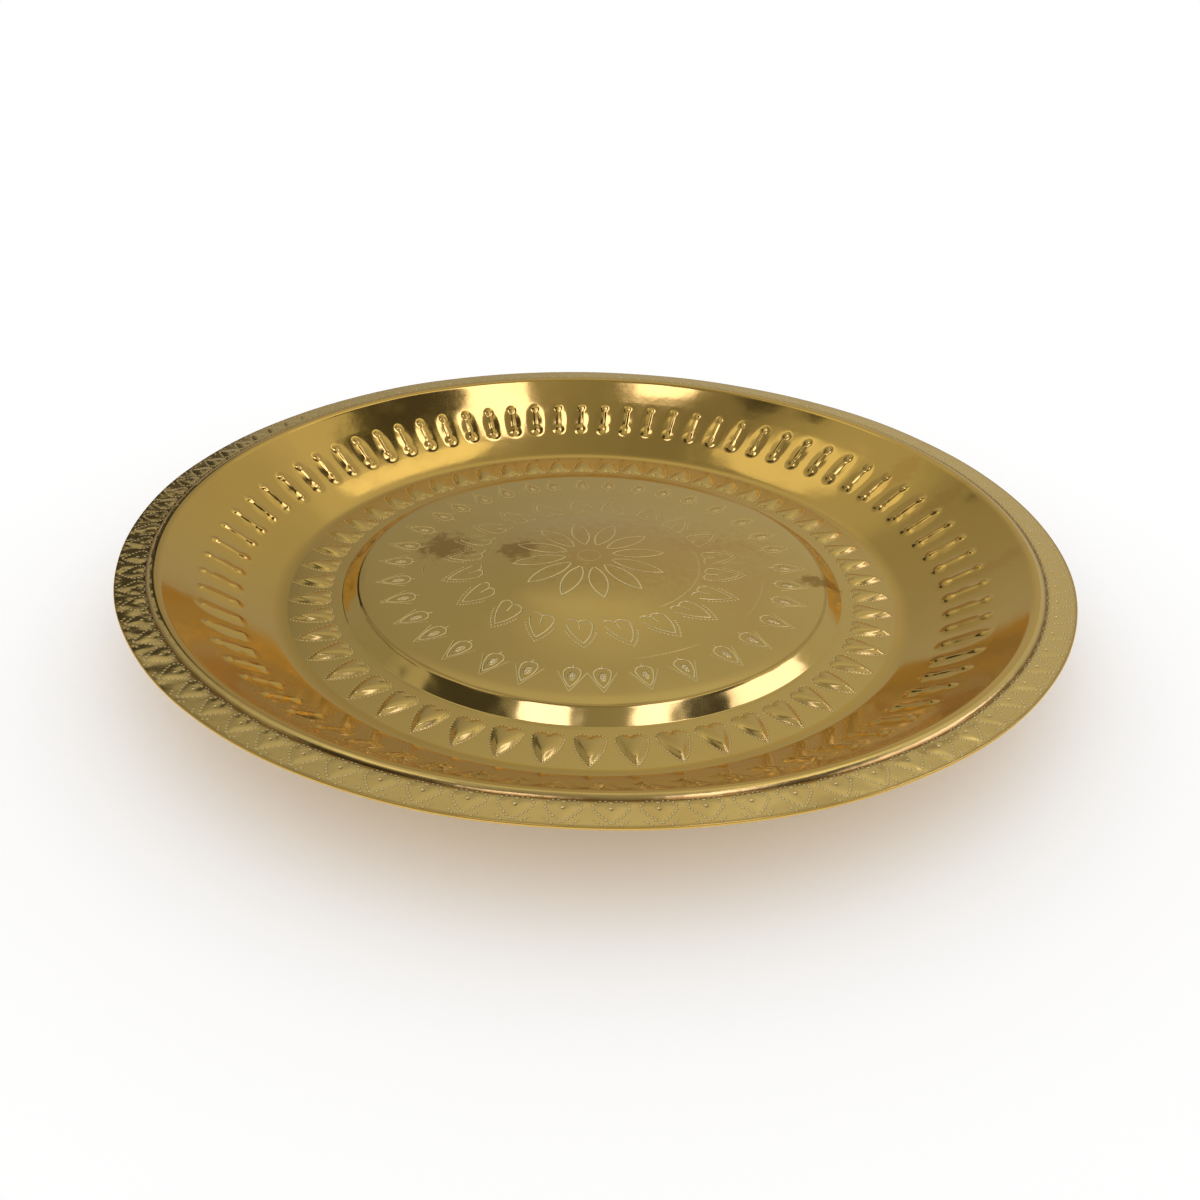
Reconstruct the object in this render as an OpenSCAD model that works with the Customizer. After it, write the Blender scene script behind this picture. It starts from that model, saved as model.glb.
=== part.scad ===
// Round metal serving plate, pressed and hammered from one sheet.
// Lengths are millimetres, angles are degrees. +Z is up, and the origin is on the
// table under the centre of the plate, so the flat ring that the plate rests on is at Z = 0.

/* [Sheet] */
// Diameter over the rim
plate_d = 305; // [275:1:340]
// Thickness of the metal sheet
sheet = 0.8; // [0.6:0.05:1.2]

/* [Raised centre] */
// Steepness of the gentle dome in the middle, halfway out, where it is greatest
dome_slope = 5.5; // [3:0.5:7]
// Width of the plain band around the dome
band_w = 10; // [6:1:16]
// Steepness of the plain band
band_slope = 1; // [0.5:0.5:2]
// Width over which the band rounds off towards the step
edge_w = 11; // [8:0.5:14]
// Steepness that the band reaches there
edge_slope = 10; // [6:1:14]
// Width of the step around the middle
step_w = 6; // [4:0.5:8]
// Steepness of the step
step_slope = 30; // [22:1:40]
// Radius of the creases at the top and the foot of the step and inside the rim
crease_r = 1; // [0.8:0.1:1.6]

/* [Dish] */
// Width of the flat ring around the step
ring_w = 18; // [17:0.5:20]
// Radius of the cove between the ring and the wall
cove_r = 9; // [7:0.5:12]
// Steepness of the wall where it leaves the cove
foot_slope = 32; // [28:1:36]
// Steepness of the wall where it meets the rim
top_slope = 44; // [40:1:50]
// Width of the wall, seen from above
wall_w = 30; // [27:0.5:32]

/* [Rim] */
// Width of the flat rim, from the ridge to the edge
rim_w = 9; // [8:0.5:11]
// Radius of the rounded ridge inside the rim
ridge_r = 3; // [2.5:0.25:4]
// How far the ridge falls back towards the rim
ridge_fall = 30; // [20:1:36]
// Upward tilt of the rim
rim_tilt = 2; // [0:0.5:4]

/* [Flutes] */
// Number of flutes hammered into the wall
flute_count = 75; // [60:1:80]
// Length of one flute, up the wall
flute_len = 11; // [8:0.5:13]
// Distance from the top of the wall to the middle of the flutes, seen from above
flute_inset = 15.5; // [13:0.5:18]
// Width of a flute where it leaves the wall
flute_w = 2.8; // [2.2:0.1:3.4]
// Height of a flute above the wall
flute_h = 0.7; // [0.4:0.1:0.9]
// Angle of the first flute
flute_start = 3.2; // [0:0.1:4.8]

/* [Hearts] */
// Number of puffed hearts around the ring
heart_count = 53; // [40:1:56]
// Length of a heart from its tip to its lobes
heart_len = 13; // [10:0.5:13]
// Width of a heart over its lobes
heart_w = 8.6; // [6:0.2:8.8]
// Height of the ridge along the middle of a heart, above the ring
heart_h = 1.4; // [0.8:0.1:1.6]
// Distance from the tip of a heart to its highest place
heart_crest = 4.2; // [3:0.2:6]
// Height of the outer edge of a heart above the ring
heart_edge = 0.3; // [0.2:0.05:0.5]
// Distance from the tips of the hearts to the cove
heart_gap = 1.5; // [1.25:0.25:3]
// Angle of the first heart, counted from the front
heart_start = 0.7; // [0:0.1:6.8]
// How much wider than the average the hearts at the front are spaced, as a share
spacing_share = 0.04; // [0:0.01:0.06]

/* [Hidden] */
$fn = 96;
skin = sheet / 2;
plate_r = plate_d / 2;
// Where the wall, the cove, the ring and the step end, counted from the axis
wall_end = plate_r - rim_w - ridge_r * (sin(top_slope) + sin(ridge_fall));
cove_end = wall_end - wall_w;
ring_end = cove_end - cove_r * sin(foot_slope);
step_end = ring_end - ring_w;
plateau_r = step_end - step_w;
// How far the dome reaches, and the radii of its two arcs, which each take half of that
dome_reach = plateau_r - edge_w - band_w;
dome_out_r = dome_reach / 2 / sin(dome_slope);
dome_in_r = dome_reach / 2 / (sin(dome_slope) - sin(band_slope));
edge_r = edge_w / (sin(edge_slope) - sin(band_slope));
wall_r = wall_w / (sin(top_slope) - sin(foot_slope));
dome_steps = 5;
edge_steps = 4;
crease_steps = 3;
cove_steps = 6;
wall_steps = 6;
ridge_steps = 6;

// A place on the sheet is [radius, height, slope]. An arc runs on from a place until the
// slope is the one asked for, and a straight runs on to a radius.
function bend(from, slope, radius, steps) =
    let (side = slope > from[2] ? 1 : -1)
    [for (i = [1 : steps])
        let (now = from[2] + (slope - from[2]) * i / steps)
        [from[0] + side * radius * (sin(now) - sin(from[2])),
         from[1] + side * radius * (cos(from[2]) - cos(now)),
         now]];
function straight(from, radius) = [[radius, from[1] + (radius - from[0]) * tan(from[2]), from[2]]];
function last(list) = list[len(list) - 1];

// The middle of the sheet, from the axis out to the edge
dome = bend([0, 0, 0], -dome_slope, dome_out_r, dome_steps);
dome_foot = bend(last(dome), -band_slope, dome_in_r, dome_steps);
band = straight(last(dome_foot), plateau_r - edge_w);
edge = bend(last(band), -edge_slope, edge_r, edge_steps);
crease_out = bend(last(edge), -step_slope, crease_r, crease_steps);
toe_w = crease_r * sin(step_slope);
step = straight(last(crease_out), step_end - toe_w);
crease_in = bend(last(step), 0, crease_r, crease_steps);
ring = straight(last(crease_in), ring_end);
cove = bend(last(ring), foot_slope, cove_r, cove_steps);
wall = bend(last(cove), top_slope, wall_r, wall_steps);
ridge = bend(last(wall), -ridge_fall, ridge_r, ridge_steps);
valley = bend(last(ridge), rim_tilt, crease_r, crease_steps);
rim = straight(last(valley), plate_r);
path = concat([[0, 0, 0]], dome, dome_foot, band, edge, crease_out, step, crease_in, ring, cove,
    wall, ridge, valley, rim);
lift = skin - ring[0][1];

// One face of the sheet, a given distance off its middle
function face(off) = [for (p = path) [max(0, p[0] - off * sin(p[2])), p[1] + lift + off * cos(p[2])]];
function backwards(list) = [for (i = [len(list) - 1 : -1 : 0]) list[i]];

// The slope and the place of the wall's upper face under the middle of a flute, how wide a
// flute is inside the sheet, and how far its sloping ends reach
flute_at = wall_w - flute_inset;
flute_slope = asin(sin(foot_slope) + flute_at / wall_r);
flute_far = cove_end + flute_at - skin * sin(flute_slope);
flute_up = last(cove)[1] + lift + wall_r * (cos(foot_slope) - cos(flute_slope)) + skin * cos(flute_slope);
flute_foot = flute_w / 2 * (flute_h + skin) / flute_h;
flute_hip = flute_len / 2 - flute_w;

// A heart seen from above, along its length and across its width, with the tip at the left
heart_shares = [[0, 0], [0.28, 0.26], [0.62, 0.47], [0.86, 0.46], [0.99, 0.3], [0.93, 0],
    [0.99, -0.3], [0.86, -0.46], [0.62, -0.47], [0.28, -0.26]];
heart_line = [for (s = heart_shares) [heart_len * (0.5 - s[0]), heart_w * s[1]]];
heart_far = ring_end - heart_gap - heart_len / 2;
heart_top = sheet + heart_h;
heart_peak = heart_top + heart_edge;
heart_side = sheet + heart_edge;
dent_share = heart_h / heart_top;

// Angle of heart i around the plate
function heart_turn(i) =
    let (even = i * 360 / heart_count + heart_start - 90)
    even + spacing_share * 180 / PI * cos(even);

// One flute with a ridge along its length and sloping ends, moved down into the sheet by drop
module flute(drop) {
    translate([flute_far, 0, flute_up])
        rotate([0, -flute_slope, 0])
            translate([0, 0, -drop])
                intersection() {
                    rotate([90, 0, 90])
                        linear_extrude(height = flute_len + sheet, center = true)
                            polygon([[-flute_foot, -skin], [flute_foot, -skin], [0, flute_h]]);
                    rotate([90, 0, 0])
                        linear_extrude(height = flute_foot * 3, center = true)
                            polygon([[-flute_len / 2, -skin], [flute_len / 2, -skin],
                                [flute_hip, flute_h * 2], [-flute_hip, flute_h * 2]]);
                }
}

module flutes(drop) {
    for (i = [0 : flute_count - 1])
        rotate([0, 0, i * 360 / flute_count + flute_start])
            flute(drop);
}

// One heart from its foot up, with a ridge along the middle that sinks towards the tip
module heart(foot, share) {
    translate([heart_far, 0, 0])
        scale(share)
            intersection() {
                translate([0, 0, foot])
                    linear_extrude(height = heart_top * 2)
                        polygon(heart_line);
                rotate([90, 0, 90])
                    linear_extrude(height = heart_len * 2, center = true)
                        polygon([[-heart_w, foot - sheet], [heart_w, foot - sheet],
                            [heart_w / 2, heart_side], [0, heart_top], [-heart_w / 2, heart_side]]);
                rotate([90, 0, 0])
                    linear_extrude(height = heart_w * 2, center = true)
                        polygon([[-heart_len, foot - sheet], [heart_len, foot - sheet],
                            [heart_len / 2, heart_side], [heart_len / 2 - heart_crest, heart_peak],
                            [-heart_len / 2, heart_side]]);
            }
}

module hearts(foot, share) {
    for (i = [0 : heart_count - 1])
        rotate([0, 0, heart_turn(i)])
            heart(foot, share);
}

module spun_sheet() {
    rotate_extrude()
        polygon(concat(face(skin), backwards(face(-skin))));
}

// The sheet with its flutes and hearts pushed up from below
module plate() {
    color([0.78, 0.62, 0.3])
        difference() {
            union() {
                spun_sheet();
                flutes(0);
                hearts(skin, 1);
            }
            flutes(sheet);
            hearts(-sheet, dent_share);
        }
}

plate();
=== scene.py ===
# %% [markdown]
# # A round brass thali plate
# The plate is one sheet of brass, 305 mm wide. It is spun to a profile, and hearts, flutes
# and fine lines are then hammered and punched into it. The CAD model holds the profile, the
# hearts and the flutes. This script lays a finer skin over the same sheet, with the soft
# edges of hammered metal, the punched dots and the polished, slightly stained brass.

import math

import bpy
import numpy as np
from mathutils import Matrix


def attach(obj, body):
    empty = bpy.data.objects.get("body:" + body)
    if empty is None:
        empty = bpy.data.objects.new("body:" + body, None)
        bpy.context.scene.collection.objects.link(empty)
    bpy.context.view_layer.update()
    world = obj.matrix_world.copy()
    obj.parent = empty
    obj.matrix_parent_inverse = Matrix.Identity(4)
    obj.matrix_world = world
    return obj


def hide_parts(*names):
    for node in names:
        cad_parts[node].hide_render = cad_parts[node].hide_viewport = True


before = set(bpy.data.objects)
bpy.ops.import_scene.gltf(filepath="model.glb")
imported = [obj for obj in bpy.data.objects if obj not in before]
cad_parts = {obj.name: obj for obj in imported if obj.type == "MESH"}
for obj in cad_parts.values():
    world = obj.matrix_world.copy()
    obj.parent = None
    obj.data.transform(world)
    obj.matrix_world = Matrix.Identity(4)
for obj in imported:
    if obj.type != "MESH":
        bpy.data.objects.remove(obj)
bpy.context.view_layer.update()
MM = 0.001
TURN = 2 * math.pi

# %% [markdown]
# ## The sizes of the sheet
# From the axis outwards the sheet has a gently domed centre with a plain band and a rounded
# edge, a step down, a flat ring that the plate rests on, a cove, a bowl-shaped wall, a rounded
# ridge and a narrow rim. The sizes are those of the CAD model, but for the dome and the edge
# of the centre, which are drawn a little crisper here, as their reflections ask for. Each
# radius follows from the widths outside it, so one width can change and the rest moves along.

# %% Widths, slopes and radii, in mm and radians
SHEET = 0.8
SKIN = SHEET / 2
PLATE_R = 152.5
BAND_W, EDGE_W, STEP_W = 12.0, 5.0, 6.0
RING_W, WALL_W, RIM_W = 18.0, 30.0, 9.0
COVE_R, RIDGE_R, CREASE_R = 9.0, 3.0, 1.0
DOME_SLOPE, BAND_SLOPE, EDGE_SLOPE, STEP_SLOPE = np.radians([6.3, 1, 6, 30])
FOOT_SLOPE, TOP_SLOPE, RIDGE_FALL, RIM_TILT = np.radians([32, 44, 30, 2])

RIDGE_W = RIDGE_R * (math.sin(TOP_SLOPE) + math.sin(RIDGE_FALL))
WALL_END = PLATE_R - RIM_W - RIDGE_W
COVE_END = WALL_END - WALL_W
RING_END = COVE_END - COVE_R * math.sin(FOOT_SLOPE)
STEP_END = RING_END - RING_W
PLATEAU_R = STEP_END - STEP_W
DOME_REACH = PLATEAU_R - EDGE_W - BAND_W
DOME_OUT_R = DOME_REACH / 2 / math.sin(DOME_SLOPE)
DOME_IN_R = DOME_REACH / 2 / (math.sin(DOME_SLOPE) - math.sin(BAND_SLOPE))
EDGE_R = EDGE_W / (math.sin(EDGE_SLOPE) - math.sin(BAND_SLOPE))
WALL_R = WALL_W / (math.sin(TOP_SLOPE) - math.sin(FOOT_SLOPE))
print("Radii: centre %.1f, ring to %.1f, wall to %.1f mm" % (PLATEAU_R, RING_END, WALL_END))

# %% [markdown]
# ## The profile of the sheet
# A spun plate is a single line carried around an axis. The line here is the middle of the
# sheet, written as tangent arcs and straights. Blender could also spin a drawn curve, but a
# table of points lets every piece of the skin read its height and its slope from the same
# numbers, so neighbouring pieces meet without a step.

# %% The middle line of the sheet
BEND_STEPS = 200


def bend(line, slope, radius):
    """Carries a line of (radius, height, slope) rows on around an arc, until it has a slope.

    A point of the arc is its start plus the arc's radius times the change in the sine of the
    slope, across, and in its cosine, upwards."""
    start = line[-1]
    side = 1 if slope > start[2] else -1
    now = np.linspace(start[2], slope, BEND_STEPS)
    across = start[0] + side * radius * (np.sin(now) - math.sin(start[2]))
    up = start[1] + side * radius * (math.cos(start[2]) - np.cos(now))
    return np.vstack([line, np.column_stack([across, up, now])[1:]])


def run(line, across):
    """Carries a line straight on to a radius: the height grows by the way times the tangent."""
    start = line[-1]
    up = start[1] + (across - start[0]) * math.tan(start[2])
    return np.vstack([line, [across, up, start[2]]])


middle = np.array([[0.0, 0.0, 0.0]])
middle = bend(middle, -DOME_SLOPE, DOME_OUT_R)
middle = bend(middle, -BAND_SLOPE, DOME_IN_R)
middle = run(middle, PLATEAU_R - EDGE_W)
middle = bend(middle, -EDGE_SLOPE, EDGE_R)
middle = bend(middle, -STEP_SLOPE, CREASE_R)
middle = run(middle, STEP_END - CREASE_R * math.sin(STEP_SLOPE))
middle = bend(middle, 0.0, CREASE_R)
# The ring lies on the table, so the middle of its sheet is half a sheet up
middle[:, 1] += SKIN - middle[-1, 1]
middle = run(middle, RING_END)
middle = bend(middle, FOOT_SLOPE, COVE_R)
middle = bend(middle, TOP_SLOPE, WALL_R)
middle = bend(middle, -RIDGE_FALL, RIDGE_R)
middle = bend(middle, RIM_TILT, CREASE_R)
middle = run(middle, PLATE_R)


def height(radius):
    """Height of the middle of the sheet at a radius, read off the table."""
    return np.interp(radius, middle[:, 0], middle[:, 1])


def slope(radius):
    """Slope of the sheet at a radius, as an angle."""
    return np.interp(radius, middle[:, 0], middle[:, 2])


print("Centre %.2f, ring %.2f, edge %.2f mm high" % (height(0), height(90), height(PLATE_R)))

# %% [markdown]
# ## Where the ornaments sit
# The maker spaced the hearts by eye, so they stand a little wider at the front than at the
# back. One small cosine in the angle gives that. The ornaments of the centre were struck one
# by one, and their angles are given as they are, in degrees, anticlockwise from the right.

# %% Angles of the ornaments


def spaced(count, start, uneven):
    """Degrees around the plate: even steps, plus a cosine that widens them at the front."""
    even = np.arange(count) * 360 / count + start - 90
    return even + np.degrees(uneven * np.cos(np.radians(even)))


HEARTS = spaced(53, 0.7, 0.04)
RIM_HEARTS = spaced(100, 1.8, 0.12)
FLUTES = np.arange(75) * 360 / 75 + 3.2
PETALS = np.arange(12) * 30 + 12.0
LEAVES = np.array([
    10.6, 29.5, 47.9, 64.7, 84.1, 100.0, 116.8, 133.4, 149.0, 163.5, 179.0,
    196.0, 214.3, 233.9, 250.8, 267.8, 284.4, 301.6, 319.1, 335.8, 354.2])
DROPS = np.array([
    1.7, 13.8, 22.8, 33.7, 45.6, 56.7, 66.5, 75.3, 86.0, 95.2, 105.4, 112.9,
    122.5, 131.5, 141.2, 149.5, 160.5, 171.8, 181.7, 192.9, 203.3, 214.5,
    224.1, 234.4, 244.9, 254.6, 265.9, 273.6, 284.4, 295.1, 307.9, 318.4,
    330.1, 341.7, 351.5])


def swing(turns, angle):
    """Angle from the nearest ornament, anticlockwise, for every angle of an array, in radians."""
    turns = np.sort(np.mod(np.radians(turns), TURN))
    around = np.concatenate([turns[-1:] - TURN, turns, turns[:1] + TURN])
    between = (around[1:] + around[:-1]) / 2
    return angle - around[np.searchsorted(between, angle)]


print(len(HEARTS), "hearts,", len(FLUTES), "flutes,", len(RIM_HEARTS), "rim hearts,",
      len(LEAVES), "leaves,", len(DROPS), "drops,", len(PETALS), "petals")

# %% [markdown]
# ## The outline of a heart
# Half a heart is two arcs: a long one from the tip up the side, and a small one around the
# lobe, where they run into each other without a corner. The same few numbers then give the
# puffed shape in the mesh and the punched line in the finish.

# %% Hearts as arcs


def heart_arcs(length, half_width, lobe, tip_angle):
    """Centres and radii of the side arc and the lobe arc of half a heart, in mm.

    x runs from the tip to the lobes and y across. The side arc leaves the tip at the given
    angle to the axis, and the lobe's circle touches it from inside."""
    x, y = length - lobe, half_width - lobe
    sine, cosine = math.sin(tip_angle), math.cos(tip_angle)
    side = (x * x + y * y - lobe * lobe) / (2 * (x * sine - y * cosine - lobe))
    return {"side_x": side * sine, "side_y": -side * cosine, "side": side,
            "lobe_x": x, "lobe_y": y, "lobe": lobe,
            "notch": x + math.sqrt(lobe * lobe - y * y)}


def heart_depth(x, y, arcs):
    """How far inside a heart a point is: the larger of its depth in the lobe's circle and its
    depth in the side arc's circle below the notch."""
    in_side = arcs["side"] - np.hypot(x - arcs["side_x"], y - arcs["side_y"])
    in_lobe = arcs["lobe"] - np.hypot(x - arcs["lobe_x"], y - arcs["lobe_y"])
    return np.maximum(in_lobe, np.minimum(in_side, arcs["notch"] - x))


def heart_width(x, arcs):
    """Half width of a heart at x: the side arc up to where it meets the lobe's arc, and the
    lobe's arc from there."""
    share = arcs["side"] / (arcs["side"] - arcs["lobe"])
    meet = arcs["side_x"] + share * (arcs["lobe_x"] - arcs["side_x"])

    def arc(name):
        squared = arcs[name] ** 2 - (x - arcs[name + "_x"]) ** 2
        return arcs[name + "_y"] + np.sqrt(np.maximum(squared, 0))

    return np.where(x < meet, arc("side"), arc("lobe"))


HEART_LENGTH = 12.8
HEART = heart_arcs(HEART_LENGTH, 4.3, 2.3, math.radians(40))
RIM_HEART = heart_arcs(7.2, 3.9, 2.15, math.radians(50))
print("Side arc of a heart: %.1f mm" % HEART["side"])

# %% [markdown]
# ## The puffed hearts of the ring
# The hearts were pressed up from below with a shaped punch, so they are cushions with a crest
# near the tip. A sculpted mesh would need one for each heart. A height that depends on where a
# point lies in its nearest heart does all 53 at once, and the sheet stays in one piece.

# %% Height of the hearts
HEART_TIP = RING_END - 1.5
HEART_HEIGHT, HEART_EDGE = 1.4, 0.25
# From the tip to the crest, and how far beyond the tip the crest's fall would end
HEART_CREST, PAST_TIP = 4.2, 0.6
# The crest loses four fifths of its height on the way back to the lobes
BACK_FALL, BACK_POWER = 0.8, 1.6
LEAST_WIDTH = 0.4
# Depths inside the outline between which the cushion and its edge rise
PILLOW_SIDE, HEART_SIDE = (-0.4, 1.6), (-0.3, 0.35)


def smooth(low, high, value):
    """A soft step from 0 at low to 1 at high: 3 t squared minus 2 t cubed."""
    t = np.clip((value - low) / (high - low), 0, 1)
    return t * t * (3 - 2 * t)


def puffed_hearts(radius, angle):
    """Height of the hearts above the ring, for every point. Along the heart it is a parabola
    that starts low at the lobes, is highest at the crest near the tip and falls to the tip.
    Across the heart it is one minus the square of the way to the side. Near the outline both
    fade into the ring."""
    across = np.abs(radius * swing(HEARTS, angle))
    x = HEART_TIP - radius
    depth = heart_depth(x, across, HEART)
    out = np.clip(across / np.maximum(heart_width(x, HEART), LEAST_WIDTH), 0, 1)
    back = np.clip((x - HEART_CREST) / (HEART_LENGTH - HEART_CREST), 0, 1)
    ahead = np.clip((HEART_CREST - x) / (HEART_CREST + PAST_TIP), 0, 1)
    rise = (1 - BACK_FALL * back ** BACK_POWER) * (1 - ahead ** 2)
    pillow = rise * (1 - out ** 2) * smooth(*PILLOW_SIDE, depth)
    return smooth(*HEART_SIDE, depth) * HEART_EDGE + (HEART_HEIGHT - HEART_EDGE) * pillow


print("Hearts from radius %.1f to %.1f mm" % (HEART_TIP - HEART_LENGTH, HEART_TIP))

# %% [markdown]
# ## The flutes of the wall
# Each flute is one blow of a long narrow tool from below. It leaves a thin crest, pulls the
# sheet around it up in wide soft flanks, and bites a little deeper at both ends, which shows
# as knobs. Those are three soft hills that are added up.

# %% Height of the flutes
FLUTE_MIDDLE, FLUTE_HALF = WALL_END - 15.2, 7.2
CREST_WIDTH, CREST_FADE, CREST_HEIGHT = 1.15, 1.2, 0.35
FLANK_WIDTH, FLANK_FADE, FLANK_HEIGHT = 4.4, 1.5, 0.45
# Radius of each knob, and how far its middle stands in from the flute's end
HIGH_KNOB, HIGH_KNOB_IN = 2.4, 1.0
LOW_KNOB, LOW_KNOB_IN = 3.5, 1.6
KNOB_HEIGHT = 0.45


def raised_flutes(radius, angle):
    """Height of the flutes above the wall: a narrow crest with ends that fade, wide flanks
    that fall away from the middle on all sides, and a round knob near either end. upwards is
    the way up the wall from the middle of the flute, which is the way out over a cosine."""
    across = np.abs(radius * swing(FLUTES, angle))
    upwards = (radius - FLUTE_MIDDLE) / math.cos(slope(FLUTE_MIDDLE))
    along = np.abs(upwards)
    crest = 1 - smooth(0, CREST_WIDTH, across)
    crest = crest * (1 - smooth(FLUTE_HALF - CREST_FADE, FLUTE_HALF, along))
    flank = 1 - smooth(0, FLANK_WIDTH, across)
    flank = flank * (1 - smooth(0, FLUTE_HALF + FLANK_FADE, along))
    high = 1 - smooth(0, HIGH_KNOB, np.hypot(across, upwards - FLUTE_HALF + HIGH_KNOB_IN))
    low = 1 - smooth(0, LOW_KNOB, np.hypot(across, upwards + FLUTE_HALF - LOW_KNOB_IN))
    return CREST_HEIGHT * crest + FLANK_HEIGHT * flank + KNOB_HEIGHT * (high + low)


print("Flutes: %.1f mm long, around radius %.1f mm" % (2 * FLUTE_HALF, FLUTE_MIDDLE))

# %% [markdown]
# ## The hand-worked rim
# The punch has only just lifted the hearts of the rim. A hand-trimmed rim isn't a perfect
# circle either. A few low waves pull it in by up to 0.7 mm and let it sag by up to 0.55 mm,
# growing from nothing at the upper wall. Sines with whole counts close on themselves.

# %% Hearts and waves of the rim
RIM_TIP = 151.2
RIM_SWELL, SWELL_SIDE = 0.16, (-0.4, 2.0)
# Count, start and size of each wave
EDGE_WAVES = [(3, 0.4, 0.16), (5, 1.9, 0.12), (8, 0.7, 0.1), (13, 2.6, 0.07), (21, 4.1, 0.05)]
WAVES_START = WALL_END - 6
PULL_MEAN, PULL_SHARE = 0.35, 0.7
LIFT_MEAN, LIFT_SHARE, LIFT_TURN = 0.3, 0.5, 1.3


def rim_relief(radius, angle):
    """Height of the rim hearts above the rim: a soft step of the depth inside the outline."""
    across = np.abs(radius * swing(RIM_HEARTS, angle))
    depth = heart_depth(RIM_TIP - radius, across, RIM_HEART)
    return RIM_SWELL * smooth(*SWELL_SIDE, depth)


def edge_wave(angle, turned):
    """A sum of sines around the plate, each with its own count, start and size, in mm."""
    return sum(size * np.sin(count * angle + start + turned)
               for count, start, size in EDGE_WAVES)


def wavy(radius, angle):
    """How far the sheet is pulled in and lifted at each point, growing with the radius."""
    share = smooth(WAVES_START, PLATE_R, radius)
    pulled = -share * (PULL_MEAN + PULL_SHARE * edge_wave(angle, 0.0))
    lifted = share * (LIFT_SHARE * edge_wave(angle, LIFT_TURN) - LIFT_MEAN)
    return pulled, lifted


most = sum(size for count, start, size in EDGE_WAVES)
print("The rim is pulled in by up to %.2f mm" % (PULL_MEAN + PULL_SHARE * most))

# %% [markdown]
# ## Carrying the profile around
# Each piece of the skin is a grid: rows along the profile and columns around the axis. A point
# is the middle line, plus half a sheet and the ornament's height along the sheet's normal.
# The inside of the dish sits a little to the left of the rim, and the flower a little to the
# left of that, as spun and hand-struck plates do, so the rows are moved sideways by radius.
# The grid's normals come from the neighbours on both sides, with one spare row beyond each
# end, so the seams between pieces can't be seen.

# %% Points and normals of the skin
COLUMNS = 1800
DISH_OFF, FLOWER_OFF = -1.4, -1.6
CORE_END, INNER_END = 32.6, 57.0
FLOWER_FADE = 6


def skin_points(rows, columns, relief, face):
    """Points of the grid in mm. rows holds radii of the middle line. face is 1 on top of the
    sheet and -1 below it. The spare row inside the axis has a negative radius, and takes its
    height and slope from the other side."""
    angle = np.arange(columns) * TURN / columns
    radius, angle = np.meshgrid(rows, angle, indexing="ij")
    lean = slope(np.abs(radius))
    out = face * SKIN + (relief(radius, angle) if relief else 0)
    pulled, lifted = wavy(radius, angle)
    across = radius - out * np.sin(lean) + pulled
    up = height(np.abs(radius)) + out * np.cos(lean) + lifted
    flower = 1 - smooth(CORE_END - FLOWER_FADE, CORE_END + FLOWER_FADE, radius)
    off = DISH_OFF * (1 - smooth(COVE_END, WALL_END, radius)) + FLOWER_OFF * flower
    return np.stack([across * np.cos(angle) + off, across * np.sin(angle), up], axis=-1)


def grid_normals(points):
    """Unit normals of the inner rows: the cross product of the step outwards and the step
    around, each taken between the two neighbours."""
    outwards = points[2:] - points[:-2]
    around = (np.roll(points, -1, axis=1) - np.roll(points, 1, axis=1))[1:-1]
    normal = np.cross(outwards, around)
    return normal / np.linalg.norm(normal, axis=-1, keepdims=True)


print("Step around the rim: %.2f mm" % (TURN * PLATE_R / COLUMNS))

# %% [markdown]
# ## A grid becomes a piece
# Blender takes points, the corners of the faces and the normals as flat arrays. The UV map
# called ornament isn't for a picture. It holds how far each corner is across from the middle
# of its face's ornament and its radius, in metres. The finish reads it, and so knows where in
# a heart it is. It is kept per corner, because two faces side by side can belong to two hearts.

# %% Faces, ornament map and mesh


def grid_faces(count, columns, face):
    """Corners of the four-sided faces of a grid that closes on itself around the axis."""
    start = np.arange(count - 1)[:, None] * columns
    a = start + np.arange(columns)[None, :]
    b = start + (np.arange(columns) + 1)[None, :] % columns
    quads = np.stack([a, a + columns, b + columns, b], axis=-1)
    return quads[..., ::-1] if face < 0 else quads


def ornament_map(rows, columns, turns, face):
    """(across, radius) of every corner. The angle from the ornament that is nearest to the
    middle of the face, half a step less or more, times the radius, is the way across."""
    step = TURN / columns
    face_angle = (np.arange(columns) + 0.5) * step
    face_rows = (rows[:-1] + rows[1:]) / 2
    swung = np.stack([swing(turns(r), face_angle) for r in face_rows])
    low, high = swung - step / 2, swung + step / 2
    inner, outer = rows[:-1, None] + 0 * low, rows[1:, None] + 0 * low
    corners = [(inner * low, inner), (outer * low, outer),
               (outer * high, outer), (inner * high, inner)]
    uv = np.stack([np.stack(c, axis=-1) for c in corners], axis=2)
    return uv[:, :, ::-1] if face < 0 else uv


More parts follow.
